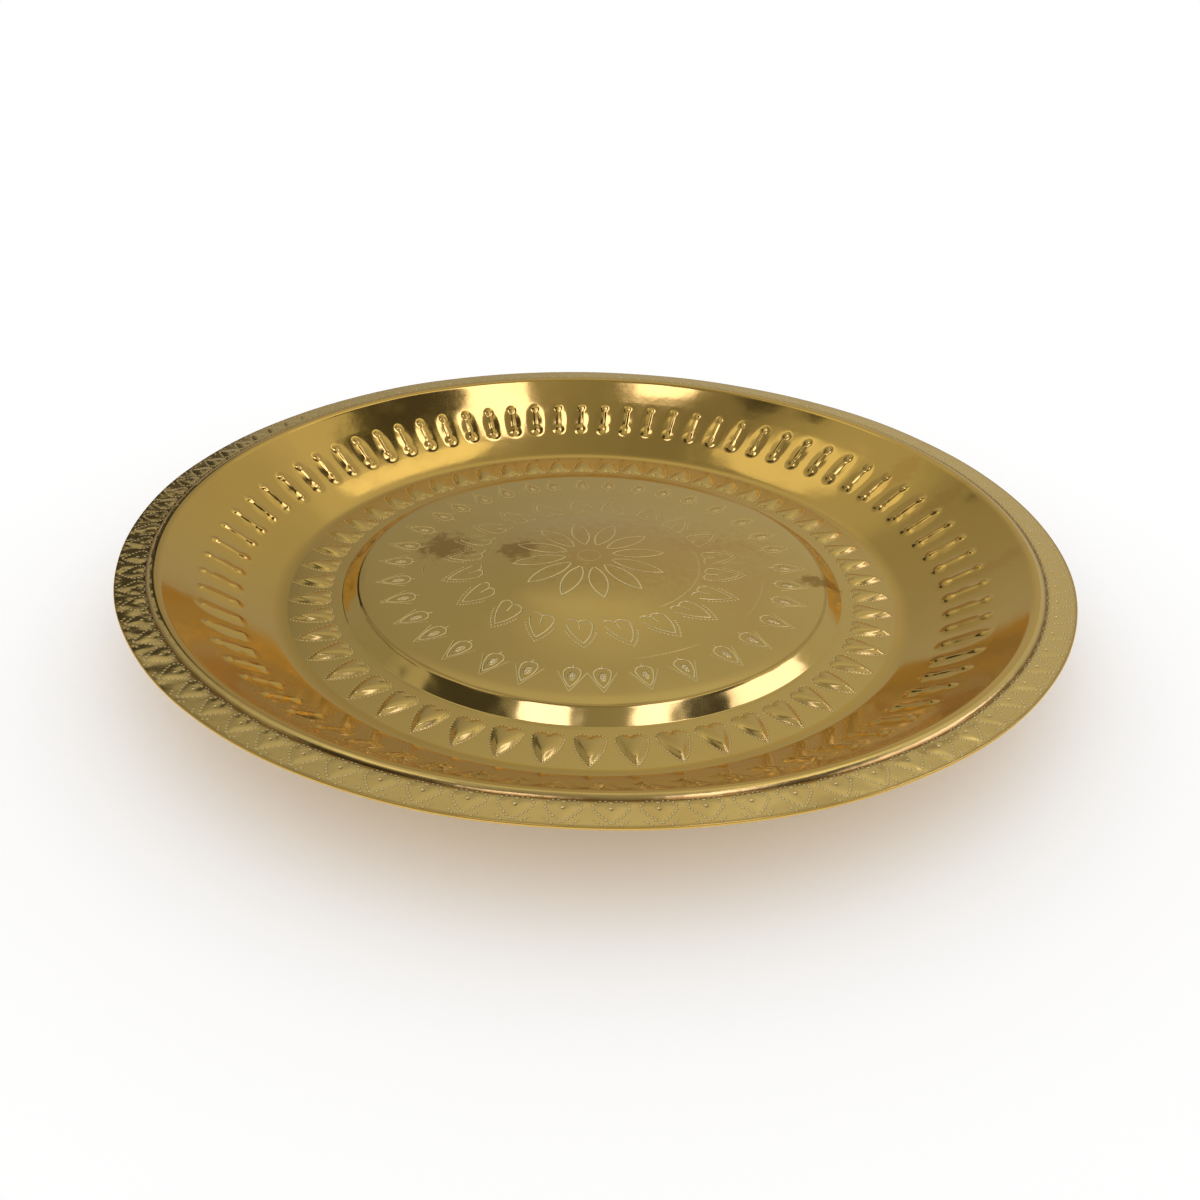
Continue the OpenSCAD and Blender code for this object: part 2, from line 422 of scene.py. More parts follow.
def grid_piece(name, points, normals, rows, turns, material, face=1):
    """A piece of the plate from a grid of points. turns gives, for a radius, the list of
    ornament angles that its map counts from, or is None for a piece without a map."""
    count, columns = points.shape[:2]
    quads = grid_faces(count, columns, face)
    flat = quads.reshape(-1, 4)
    mesh = bpy.data.meshes.new(name)
    mesh.vertices.add(count * columns)
    mesh.vertices.foreach_set("co", (points * MM).astype(np.float32).ravel())
    mesh.loops.add(flat.size)
    mesh.loops.foreach_set("vertex_index", flat.astype(np.int32).ravel())
    mesh.polygons.add(len(flat))
    mesh.polygons.foreach_set("loop_start", np.arange(0, flat.size, 4, dtype=np.int32))
    mesh.update(calc_edges=True)
    mesh.polygons.foreach_set("use_smooth", np.ones(len(flat), dtype=bool))
    mesh.normals_split_custom_set_from_vertices((normals * face).reshape(-1, 3))
    if turns is not None:
        uv = ornament_map(rows, columns, turns, face)
        layer = mesh.uv_layers.new(name="ornament")
        layer.data.foreach_set("uv", (uv * MM).astype(np.float32).ravel())
    mesh.materials.append(material)
    piece = bpy.data.objects.new(name, mesh)
    bpy.context.scene.collection.objects.link(piece)
    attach(piece, "root")
    print("%s: %d faces" % (name, len(flat)))


def carry(name, rows, relief, turns, material, face=1, columns=COLUMNS):
    """One piece of the skin, from a list of radii."""
    first, last = 2 * rows[0] - rows[1], 2 * rows[-1] - rows[-2]
    padded = np.concatenate([[first], rows, [last]])
    points = skin_points(padded, columns, relief, face)
    grid_piece(name, points[1:-1], grid_normals(points), rows, turns, material, face)


# %% [markdown]
# ## Shader sums as Python
# A finish is a network of nodes, and long sums are hard to read as nodes. The small class
# below wraps one output of a node, so that `1 - mask` or `a * b` adds the Math node for it.
# Everything else goes through one method, which takes a node's type, its settings and its
# sockets.

# %% A wire


class Wire:
    """One output of a node. An operator on it adds a Math node and gives that node's output."""

    def __init__(self, finish, socket):
        self.finish, self.socket = finish, socket

    def work(self, operation, *others):
        sockets = dict(enumerate((self, *others)))
        return self.finish.add("ShaderNodeMath", {"operation": operation}, sockets)

    def __add__(self, other):
        return self.work("ADD", other)

    def __sub__(self, other):
        return self.work("SUBTRACT", other)

    def __rsub__(self, other):
        return self.finish.add("ShaderNodeMath", {"operation": "SUBTRACT"}, {0: other, 1: self})

    def __mul__(self, other):
        return self.work("MULTIPLY", other)

    def __truediv__(self, other):
        return self.work("DIVIDE", other)

    def __pow__(self, other):
        return self.work("POWER", other)

    def __abs__(self):
        return self.work("ABSOLUTE")

    __radd__, __rmul__ = __add__, __mul__

    def larger(self, other):
        return self.work("MAXIMUM", other)

    def smaller(self, other):
        return self.work("MINIMUM", other)

    def above(self, other):
        return self.work("GREATER_THAN", other)

    def below(self, other):
        return self.work("LESS_THAN", other)

    def within(self, low, high):
        """1 between low and high, and 0 outside."""
        return self.above(low) * self.below(high)

    def step(self, low, high):
        """A soft step, from 0 at low to 1 at high."""
        return self.finish.add("ShaderNodeMapRange", {"interpolation_type": "SMOOTHSTEP"},
                               {"Value": self, "From Min": low, "From Max": high})


# %% A finish


class Finish:
    """A material with a method that adds any node to it."""

    def __init__(self, name):
        self.material = bpy.data.materials.new(name)
        self.material.use_nodes = True
        self.nodes = self.material.node_tree.nodes
        self.links = self.material.node_tree.links
        self.shader = self.nodes["Principled BSDF"]
        self.place = self.add("ShaderNodeTexCoord", out="Object")

    def plug(self, node, key, value):
        """Links a wire to a socket, or sets the socket to a plain value."""
        if isinstance(value, Wire):
            self.links.new(value.socket, node.inputs[key])
        else:
            node.inputs[key].default_value = value

    def add(self, kind, settings=None, sockets=None, out=0):
        """Any node, from its type, its settings and its sockets. Gives one of its outputs."""
        node = self.nodes.new(kind)
        for key, value in (settings or {}).items():
            setattr(node, key, value)
        for key, value in (sockets or {}).items():
            self.plug(node, key, value)
        return Wire(self, node.outputs[out])

    def mix(self, share, first, second):
        """A colour between two others."""
        return self.add("ShaderNodeMix", {"data_type": "RGBA", "clamp_factor": True},
                        {0: share, 6: first, 7: second}, out=2)

    def noise(self, size, detail=2.0, roughness=0.5):
        """Noise from 0 to 1 with lumps of a size in mm."""
        return self.add("ShaderNodeTexNoise", None,
                        {"Vector": self.place, "Scale": 1 / (size * MM),
                         "Detail": detail, "Roughness": roughness}, out="Fac")

    def split(self, vector):
        """The first two parts of a vector, in mm."""
        node = self.nodes.new("ShaderNodeSeparateXYZ")
        self.plug(node, 0, vector)
        return Wire(self, node.outputs[0]) / MM, Wire(self, node.outputs[1]) / MM


# %% [markdown]
# ## Lines and rows of dots
# A tracer or a punch leaves a groove or a row of dents. In the finish each is a distance to a
# line, turned into a depth. The distance to a heart's outline is the distance to its nearer
# arc. A row of dots also needs the way along the arc, which is the angle around the arc's
# centre times its radius, counted in dots.

# %% Lines in the finish


def far(x, y):
    """Length of a step x, y."""
    return (x * x + y * y) ** 0.5


def line(distance, half_width):
    """1 on a line and 0 beyond its half width, with soft sides."""
    return 1 - distance.step(0.0, half_width)


def circle(radius, where, half_width):
    """A line around the axis."""
    return line(abs(radius - where), half_width)


def arc_line(x, y, arcs, name, spread=0.0):
    """Distance to an arc of a heart, moved outwards by spread, and the way along the arc."""
    east, north = x - arcs[name + "_x"], y - arcs[name + "_y"]
    radius = arcs[name] + spread
    return abs(far(east, north) - radius), north.work("ARCTAN2", east) * radius


def beyond(x, y, arcs):
    """1 where the lobe's arc is the nearer one: left of the line through both centres."""
    lean_x, lean_y = arcs["lobe_x"] - arcs["side_x"], arcs["lobe_y"] - arcs["side_y"]
    return ((x - arcs["side_x"]) * lean_y - (y - arcs["side_y"]) * lean_x).above(0.0)


def heart_line(x, y, arcs, half_width):
    """A line around a heart."""
    on_lobe = beyond(x, y, arcs)
    side = arc_line(x, y, arcs, "side")[0]
    lobe = arc_line(x, y, arcs, "lobe")[0]
    return line(side * (1 - on_lobe) + lobe * on_lobe, half_width)


# %% Rows of dots in the finish
DOT_PITCH, DOT_SIZE = 1.15, 0.42
DOT_FLAT = 0.6


def dots(distance, along):
    """Round spots at every pitch of the way along a line, with a flat middle."""
    off = ((along / DOT_PITCH).work("FRACT") - 0.5) * DOT_PITCH
    return 1 - far(off, distance).step(DOT_SIZE * DOT_FLAT, DOT_SIZE)


def heart_dots(x, y, arcs, spread):
    """Dots around a heart, moved outwards by spread."""
    on_lobe = beyond(x, y, arcs)
    side = dots(*arc_line(x, y, arcs, "side", spread))
    lobe = dots(*arc_line(x, y, arcs, "lobe", spread))
    return side * (1 - on_lobe) + lobe * on_lobe


print("Dots: %.2f mm wide, every %.2f mm" % (2 * DOT_SIZE, DOT_PITCH))

# %% [markdown]
# ## What is engraved in the centre
# The centre has a flower of petals, a ring of leaf-shaped hearts and a ring of drops with a
# stippled eye, all set out on faint compass lines. They are far too fine for the mesh, so they
# are drawn in the finish, as a bump. A petal is two arcs that meet in points, a leaf is a
# heart that leans to one side, and a drop is a heart whose lobes have grown together.

# %% Sizes of the centre's marks, in mm
TRACED, THIN, FINE = 0.36, 0.3, 0.25
DROP = heart_arcs(9.7, 2.6, 2.6, math.radians(38))
LEAF = heart_arcs(12.0, 4.3, 2.3, math.radians(41))
DROP_TIP, LEAF_TIP, VEE_TIP = 73.6, 51.4, 76.0
STEM, VEE, RIB = (9.4, 11.2), (0.3, 10.0), (7.4, 10.6)
VEE_CLIMB, VEE_SPREAD, VEE_START = 0.42, 0.9, 0.1
EYE_AT, EYE_LONG, EYE_WIDE, EYE_TAPER, EYE_SIDE = 5.4, 0.62, 1.5, 0.06, (0.9, 1.5)
LEAF_LEAN = 0.22
BEADS_OUT, BEADS_END = 1.5, 6.5
PETAL_MIDDLE, PETAL_HALF, PETAL_BULGE = 17.6, 9.5, 3.0
PETAL_ARC = (PETAL_HALF ** 2 + PETAL_BULGE ** 2) / (2 * PETAL_BULGE)
PETAL_LINE, PETAL_SPAN = 0.4, (8.4, 27.2)
BOSS_R, BOSS_LINE = 4.0, 0.35
CIRCLES = (37.4, 59.7)
print("Petal arc %.1f mm" % PETAL_ARC)

# %% Drops, leaves and petals


def drop_marks(side, radius):
    """Lines of the drops, with a stem on each and thin lines that cross between them, and
    the eye, an oval that narrows towards the tip."""
    x, vee_x = DROP_TIP - radius, VEE_TIP - radius
    stem = line(side, THIN) * x.within(*STEM)
    vee = line(abs(vee_x * VEE_CLIMB - side * VEE_SPREAD - VEE_START), THIN) * vee_x.within(*VEE)
    eye = far((x - EYE_AT) * EYE_LONG, side * (EYE_WIDE - x * EYE_TAPER))
    return heart_line(x, side, DROP, TRACED) + stem + vee * 0.55, 1 - eye.step(*EYE_SIDE)


def leaf_marks(across, radius):
    """Lines of the leaves, a rib between the lobes, and a row of beads outside the tip."""
    x = LEAF_TIP - radius
    side = abs(across + x * LEAF_LEAN)
    beads = heart_dots(x, side, LEAF, BEADS_OUT) * x.below(BEADS_END)
    rib = line(side, TRACED) * x.within(*RIB)
    return heart_line(x, side, LEAF, TRACED) + beads * 0.7 + rib


def petal_marks(side, radius):
    """Lines of the petals and of the boss. The arc of one side of a petal has its centre on
    the other side, as far off as the arc's radius less the petal's bulge."""
    out = far(radius - PETAL_MIDDLE, side + (PETAL_ARC - PETAL_BULGE))
    petals = line(abs(out - PETAL_ARC), PETAL_LINE) * radius.within(*PETAL_SPAN)
    return petals + circle(radius, BOSS_R, BOSS_LINE) * 0.3


# %% [markdown]
# ## How deep, how frosted and how dark
# Each function of marks gives three wires: the depth in mm, how frosted the metal is, because
# a stippled spot scatters light, and how much patina lies there, because polish never reaches
# a crease. On the rim that last wire also carries a painted shade. On the centre the marks are
# shallower where more hands have been, and the wall of the step is slightly uneven from the
# hammer.

# %% Marks of the centre and of the ring
CUT_DEPTH, GRAIN_SIZE, GRAIN_HEIGHT = 0.12, 0.55, 0.45
CUT_FROST, STIPPLE_FROST = 0.9, 0.7
STEP_DENTS, STEP_HEIGHT = 11.0, 0.25
CREASE_LINE, CREASE_PATINA = 0.8, 0.5
CIRCLES_GONE, CIRCLES_LEFT = 22.0, (0.5, 0.7)
# The marks fade between these places, by these shares, away from the front and to the right
WORN_FAR, WORN_RIGHT = (-20, 45), (20, 70)
LOST_FAR, LOST_RIGHT = 0.25, 0.15


def centre_marks(f, across, radius):
    """Each ring of ornaments counts in its own span of radii. The eyes of the drops stand up
    in grains, and all cuts fade with the way back and to the right."""
    side = abs(across)
    outer, past_core = radius.above(INNER_END), radius.above(CORE_END)
    drops, eye = drop_marks(side, radius)
    worn = f.noise(CIRCLES_GONE, 1.0).step(*CIRCLES_LEFT) * 0.5
    circles = (circle(radius, CIRCLES[0], FINE) + circle(radius, CIRCLES[1], FINE)) * worn
    cut = (outer * drops + past_core * (1 - outer) * leaf_marks(across, radius)
           + (1 - past_core) * petal_marks(side, radius) + circles)
    stipple = eye * outer
    grain = f.add("ShaderNodeTexVoronoi", None,
                  {"Vector": f.place, "Scale": 1 / (GRAIN_SIZE * MM)}, out="Distance")
    beaten = f.noise(STEP_DENTS, 1.0) * radius.step(PLATEAU_R - 1, PLATEAU_R + 1)
    east, north = f.split(f.place)
    kept = 1 - north.step(*WORN_FAR) * LOST_FAR - east.step(*WORN_RIGHT) * LOST_RIGHT
    return (cut * kept * -CUT_DEPTH + stipple * grain * GRAIN_HEIGHT + beaten * STEP_HEIGHT,
            (cut * CUT_FROST + stipple * STIPPLE_FROST).smaller(1.0) * kept,
            circle(radius, PLATEAU_R, CREASE_LINE) * CREASE_PATINA)


RING_DOTS_OUT, RING_DOT_DEPTH, RING_DOT_FROST = 0.25, 0.22, 0.5


def ring_marks(f, across, radius):
    """A row of dots just outside every heart."""
    spots = heart_dots(HEART_TIP - radius, abs(across), HEART, RING_DOTS_OUT)
    return spots * -RING_DOT_DEPTH, spots * RING_DOT_FROST, None


print("Centre marks %.2f mm deep, ring dots %.2f mm" % (CUT_DEPTH, RING_DOT_DEPTH))

# %% [markdown]
# ## The rim, with its dots and beaten stretches
# Every heart of the rim is a row of dots with one spot in the middle and a second row around
# its tip. Patina lies in the narrow valley behind the ridge and along the cut edge. At two
# places, given as directions, the thin rim has been knocked about and shows dents, and at the
# one in front a patchy line of painted shade darkens the rim beside the valley.

# %% Marks of the rim
VALLEY_R = WALL_END + RIDGE_W + 0.3
VALLEY_LINE, VALLEY_PATINA = 1.2, 1.6
EDGE_GRIME, GRIME_PATINA = (PLATE_R - 1.2, PLATE_R - 0.4), 0.6
# A patchy line of painted shade beside the valley at the front of the rim: radius, half width,
# patch size, soft step and strength
PAINTED_SHADE_R, PAINTED_SHADE_WIDTH, PAINTED_SHADE_PATCH, PAINTED_SHADE_LEFT, PAINTED_SHADE_STRENGTH = VALLEY_R + 1.8, 2.4, 4.0, (0.42, 0.55), 1.4
RIM_DOT_DEPTH, RIM_DOT_FROST = 0.26, 0.55
SPOT_AT, SPOT_SIZE = 4.4, 0.6
SECOND_ROW, SECOND_END = 1.8, 0.9
# Where the rim was knocked about, how near to that direction it starts, and how deeply
CRINKLED_LEFT, CRINKLED_FRONT = np.radians([198, 302])
LEFT_REACH, FRONT_REACH = (0.83, 0.93), (0.93, 0.98)
RIM_DENTS, DENT_HEIGHT, FRONT_SHARE = 6.0, 0.8, 0.7


def towards(f, direction):
    """How far a point lies in a direction, as a share of the plate's radius."""
    east, north = f.split(f.place)
    return (east * math.cos(direction) + north * math.sin(direction)) / PLATE_R


def rim_marks(f, across, radius):
    """Dots and spots, plus a noise of dents that grows towards the two knocked places."""
    side, x = abs(across), RIM_TIP - radius
    spots = heart_dots(x, side, RIM_HEART, 0.0) + line(far(x - SPOT_AT, side), SPOT_SIZE)
    tips = heart_dots(x, side, RIM_HEART, SECOND_ROW) * x.below(SECOND_END)
    marks = (spots + tips).smaller(1.0)
    left = towards(f, CRINKLED_LEFT).step(*LEFT_REACH)
    front = towards(f, CRINKLED_FRONT).step(*FRONT_REACH)
    dented = f.noise(RIM_DENTS, 1.0) * (left + front * FRONT_SHARE) * DENT_HEIGHT
    valley = circle(radius, VALLEY_R, VALLEY_LINE) * VALLEY_PATINA
    grime = radius.step(*EDGE_GRIME) * GRIME_PATINA
    # Painted shade: a patchy dark line beside the valley, only at the front
    patchy_shade = f.noise(PAINTED_SHADE_PATCH, 2.0).step(*PAINTED_SHADE_LEFT) * PAINTED_SHADE_STRENGTH
    painted_shade = circle(radius, PAINTED_SHADE_R, PAINTED_SHADE_WIDTH) * patchy_shade
    return (marks * -RIM_DOT_DEPTH + dented, marks * RIM_DOT_FROST,
            valley + grime + front * painted_shade)


print("Valley behind the ridge at %.1f mm" % VALLEY_R)

# %% [markdown]
# ## Polished brass, a little stained
# Brass is a metal through and through, so its colour is in the reflection. The middle of the
# plate is greener, and the wall redder. Handling leaves duller patches, a warm bloom and
# a few brown spots. Each is a noise at its own size, which moves the colour and the roughness
# only a little. Frosted marks are fresh metal, and are taken a fifth of the way from metal to
# dust, so that they catch light from everywhere. Their paler colour is partly that of fresh
# metal and partly a painted glint.

# %% Colours of the brass
BRASS = (0.75, 0.515, 0.145, 1)
# A redder brass for the wall
REDDER_BRASS = (0.75, 0.485, 0.115, 1)
RIM_METAL = (0.86, 0.61, 0.20, 1)
# Paler brass of frosted marks: partly fresh metal, partly a painted glint
FRESH_AND_GLINT = (0.98, 0.83, 0.42, 1)
WARM = (0.68, 0.42, 0.11, 1)
TARNISH = (0.62, 0.33, 0.07, 1)
BROWN = (0.36, 0.18, 0.02, 1)
# Dark brown of patina in creases, also used for painted shade at the front of the rim
PATINA_AND_SHADE = (0.30, 0.16, 0.035, 1)

# Stains: place in mm, reach in mm, strength, colour
CENTRE_STAINS = [
    ((-55, 9.5), (10.5, 11), 0.75, BROWN), ((-28.5, 4.5), (8, 8), 0.75, BROWN),
    ((78, -6), (8, 4.5), 0.75, BROWN), ((14, 8), (46, 28), 0.35, TARNISH),
    ((45, 16), (22, 9), 0.25, TARNISH)]
WALL_STAINS = [
    ((119, 58), (9, 6), 0.4, TARNISH), ((128, 33), (11, 5), 0.35, TARNISH),
    ((133, -18), (10, 5), 0.35, TARNISH)]
print(len(CENTRE_STAINS) + len(WALL_STAINS), "stains")

# %% The brass
DUSTED, FROST_ROUGH = 0.2, 0.32
BLOOM_SIZE, BLOOM_SIDE, BLOOM_SHARE = 38.0, (0.5, 0.75), 0.35
DULL_SIZE, DULL_SIDE, DULL_ROUGH = 14.0, (0.45, 0.8), 0.06
CLOUD_SIZE, CLOUD_ROUGH, CLOUD_HEIGHT = 9.0, 0.04, 0.01
RAGGED_SIZE, RAGGED, STAIN_SIDE = 3.2, 2.4, (0.45, 1.1)
PATINA_LEAST, PATINA_CLOUD = 0.25, 0.9
WIDE_DENTS, SMALL_DENTS = 26.0, 8.0


def stained(f, colour, stains):
    """Brown spots with ragged sides: the distance to a place, as a share of the stain's
    reach, plus a noise, turned into a soft step."""
    east, north = f.split(f.place)
    ragged = (f.noise(RAGGED_SIZE, 4.0, 0.7) - 0.5) * RAGGED
    for place, reach, strength, stain in stains:
        share = far((east - place[0]) / reach[0], (north - place[1]) / reach[1])
        spot = 1 - (share + ragged).step(*STAIN_SIDE)
        colour = f.mix(spot * strength, colour, stain)
    return colour


def brass(name, marks, dents, stains, satin=0.08, metal=BRASS):
    """Brass with its own marks, if any. dents holds the height in mm of the wide and of the
    small hammer waves, and satin is the roughness where the metal is clean."""
    f = Finish(name)
    cloud = f.noise(CLOUD_SIZE, 4.0, 0.65)
    colour = f.mix(f.noise(BLOOM_SIZE, 3.0).step(*BLOOM_SIDE) * BLOOM_SHARE, metal, WARM)
    if stains:
        colour = stained(f, colour, stains)
    rough = satin + f.noise(DULL_SIZE, 3.0).step(*DULL_SIDE) * DULL_ROUGH + cloud * CLOUD_ROUGH
    surface = (f.noise(WIDE_DENTS, 1.0) * dents[0] + f.noise(SMALL_DENTS, 2.0) * dents[1]
               + cloud * CLOUD_HEIGHT)
    f.shader.inputs["Metallic"].default_value = 1.0
    if marks:
        across, radius = f.split(f.add("ShaderNodeUVMap", {"uv_map": "ornament"}))
        cut, frost_and_glint, patina_and_shade = marks(f, across, radius)
        # Patina darkens the creases, and at the front of the rim the same colour paints shade
        if patina_and_shade:
            colour = f.mix(patina_and_shade * (PATINA_LEAST + cloud * PATINA_CLOUD), colour, PATINA_AND_SHADE)
        surface = surface + cut
        rough = rough + frost_and_glint * FROST_ROUGH
        # Frosted marks turn paler: partly fresh metal, partly a painted glint
        colour = f.mix(frost_and_glint, colour, FRESH_AND_GLINT)
        f.plug(f.shader, "Metallic", 1 - frost_and_glint * DUSTED)
    bump = f.add("ShaderNodeBump", None,
                 {"Height": surface, "Strength": 1.0, "Distance": MM}, out="Normal")
    f.plug(f.shader, "Base Color", colour)
    f.plug(f.shader, "Roughness", rough)
    f.plug(f.shader, "Normal", bump)
    return f.material


CENTRE_BRASS = brass("centre brass", centre_marks, (0.06, 0.0), CENTRE_STAINS)
RING_BRASS = brass("ring brass", ring_marks, (0.06, 0.01), None, 0.2)
WALL_BRASS = brass("wall brass", None, (0.3, 0.03), WALL_STAINS, metal=REDDER_BRASS)
RIM_BRASS = brass("rim brass", rim_marks, (0.15, 0.12), None, 0.14, RIM_METAL)
print("Finishes:", [m.name for m in bpy.data.materials])

# %% [markdown]
# ## The skin, piece by piece
# The rows stand close together where the sheet bends or carries an ornament, and far apart
# where it is plain, so each piece stays under 200,000 triangles. The seams lie where nothing
# is drawn: at the foot of the step, outside the hearts and on the ridge. The whole skin takes
# the place of the one CAD node.

# %% The upper skin


def radii(*runs):
    """Radii in mm: each run is (end, how many), and starts where the last one ended."""
    made, start = [], runs[0]
    for end, count in runs[1:]:
        made.append(np.linspace(start, end, count, endpoint=False))
        start = end
    return np.concatenate(made + [[start]])


def centre_turns(radius):
    """Which ring of the centre's ornaments a radius lies in."""
    return PETALS if radius < CORE_END else LEAVES if radius < INNER_END else DROPS


SEAM_RING, SEAM_WALL = 88.2, 104.7
SEAM_RIM = WALL_END + RIDGE_R * math.sin(TOP_SLOPE)
# The skin ends a little inside the edge, and the cut edge goes round the rest
LAST = PLATE_R - 0.3
CENTRE_COLUMNS = 900
centre_rows = radii(0.02, (69.0, 46), (80.0, 14), (82.8, 22), (85.8, 8), (SEAM_RING, 20))
ring_rows = radii(SEAM_RING, (SEAM_WALL, 54))
wall_rows = radii(SEAM_WALL, (COVE_END, 6), (117.4, 5), (132.6, 33), (139.6, 3), (SEAM_RIM, 8))
rim_rows = radii(SEAM_RIM, (144.4, 13), (LAST, 30))
carry("centre", centre_rows, None, centre_turns, CENTRE_BRASS, columns=CENTRE_COLUMNS)
carry("heart_ring", ring_rows, puffed_hearts, lambda r: HEARTS, RING_BRASS)
carry("wall", wall_rows, raised_flutes, None, WALL_BRASS)
carry("rim", rim_rows, rim_relief, lambda r: RIM_HEARTS, RIM_BRASS)
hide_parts("plate")

# %% [markdown]
# ## The underside
# Below, the sheet shows the other side of every blow: a hollow under each heart and flute, a
# little shallower than the hill above it, because metal stretches as it is pushed up.

# %% The lower skin
HOLLOW_SHARE = 0.85
UNDER_COLUMNS = 1440


def pushed_up(radius, angle):
    """The dents of the underside follow the hearts and the flutes above them."""
    hearts = np.where(radius < SEAM_WALL, puffed_hearts(radius, angle), 0)
    flutes = np.where(radius > SEAM_WALL, raised_flutes(radius, angle), 0)
    return HOLLOW_SHARE * (hearts + flutes)


under_rows = radii(SEAM_RING, (SEAM_WALL, 24), (117.4, 7), (132.6, 18), (139.6, 4),
                   (144.4, 12), (LAST, 4))
carry("underside_centre", centre_rows, None, None, WALL_BRASS, -1, CENTRE_COLUMNS)
carry("underside", under_rows, pushed_up, None, WALL_BRASS, -1, UNDER_COLUMNS)

# %% [markdown]
# ## The cut edge
# The sheet ends in a plain cut. It is a half circle, flattened to the thickness of the sheet,
# that joins the upper and the lower skin.

# %% Edge
EDGE_STEPS = 9


def edge_points(steps):
    """The cut edge: half a turn from the upper face over to the lower one. The sine of the
    turn carries it outwards, and its cosine from one face to the other."""
    angle = np.arange(COLUMNS) * TURN / COLUMNS
    over, angle = np.meshgrid(steps, angle, indexing="ij")
    radius = LAST + (PLATE_R - LAST) * np.sin(over)
    lean = slope(LAST)
    pulled, lifted = wavy(radius, angle)
    across = radius - SKIN * np.cos(over) * math.sin(lean) + pulled
    up = height(radius) + SKIN * np.cos(over) * math.cos(lean) + lifted
    return np.stack([across * np.cos(angle), across * np.sin(angle), up], axis=-1)


over = np.linspace(0, math.pi, EDGE_STEPS)
edge = edge_points(np.concatenate([[-over[1]], over, [math.pi + over[1]]]))
grid_piece("cut_edge", edge[1:-1], grid_normals(edge), over, None, WALL_BRASS)

# %% [markdown]
# ## Floor and world
# The plate stands on a plain white floor under a white world, which light it evenly. The
# floor also gives off a little light of its own. Only the camera and reflections see that
# light, so the floor comes out white and still casts nothing on the plate's matt marks.

# %% Floor and world
FLOOR_SIZE, FLOOR_DROP = 12.0, 0.0002
FLOOR_WHITE, FLOOR_GLOW = 0.93, 0.08
bpy.ops.mesh.primitive_plane_add(size=FLOOR_SIZE, location=(0, 0, -FLOOR_DROP))
floor = bpy.context.object
floor.name = "floor"
white = Finish("floor white")
white.shader.inputs["Base Color"].default_value = (FLOOR_WHITE, FLOOR_WHITE, FLOOR_WHITE, 1)
white.shader.inputs["Roughness"].default_value = 0.9
white.shader.inputs["Specular IOR Level"].default_value = 0.0
white.shader.inputs["Emission Color"].default_value = (1, 1, 1, 1)
rays = white.nodes.new("ShaderNodeLightPath")
seen, mirrored, through = [Wire(white, rays.outputs[name]) for name in
                           ("Is Camera Ray", "Is Glossy Ray", "Is Transmission Ray")]
white.plug(white.shader, "Emission Strength", seen.larger(mirrored).larger(through) * FLOOR_GLOW)
floor.data.materials.append(white.material)

world = bpy.data.worlds.new("white world")
world.use_nodes = True
world.node_tree.nodes["Background"].inputs[0].default_value = (1, 1, 1, 1)
world.node_tree.nodes["Background"].inputs[1].default_value = 1.0
bpy.context.scene.world = world
print("Floor: %.0f m wide" % FLOOR_SIZE)

# %% [markdown]
# ## What the brass mirrors
# Polished metal looks like the room around it, and in a white room it would look flat. So a
# tent of soft grey stands around the plate, with bright panels and dark cards on it, as
# photographers use for silver. Tent and cards show in the metal alone, and cast no light or
# shadow on the floor. Their places are given as on a map of the sky: degrees to the right of
# the zenith and away from it.

# %% A map of the sky
TENT_R = 1.5
CARD_R = 1.45
CREAM = np.array([1.0, 0.98, 0.93])
LAMP = np.array([1.0, 1.0, 1.6])
LOW_TAN = np.array([0.36, 0.23, 0.07])


def sky(places, radius):
    """Points on a dome from (right, away) in degrees on the map: the distance from the map's
    middle is the angle from the zenith."""
    places = np.array(places, dtype=float)
    down = np.radians(np.hypot(places[:, 0], places[:, 1]))
    around = np.arctan2(places[:, 1], places[:, 0])
    return radius * np.column_stack([np.sin(down) * np.cos(around),
                                     np.sin(down) * np.sin(around), np.cos(down)])


def glow(name, level):
    """A material that gives off an even light."""
    f = Finish(name)
    light = f.add("ShaderNodeEmission", None, {"Color": level, "Strength": 1.0})
    f.links.new(light.socket, f.nodes["Material Output"].inputs["Surface"])
    return f


def only_in_metal(thing):
    """A stage piece that only mirror rays meet."""
    thing.visible_camera = thing.visible_diffuse = thing.visible_shadow = False
    thing.visible_transmission = thing.visible_volume_scatter = False


def card(name, outline, level):
    """A flat-edged card on the dome, from its corners on the map."""
    mesh = bpy.data.meshes.new(name)
    mesh.from_pydata(sky(outline, CARD_R).tolist(), [], [list(range(len(outline)))])
    mesh.materials.append(glow(name, (*level, 1)).material)
    made = bpy.data.objects.new(name, mesh)
    bpy.context.scene.collection.objects.link(made)
    only_in_metal(made)


# %% [markdown]
# ## The tent
# The tent is grey all round, a little lighter from halfway up and on the right, and darker
# straight overhead, so that the bright panels there stand out. A sphere with a light level
# that depends on the height is enough for that. A low tan band behind the plate stands for a
# table top, and shows where the metal leans away from the camera.

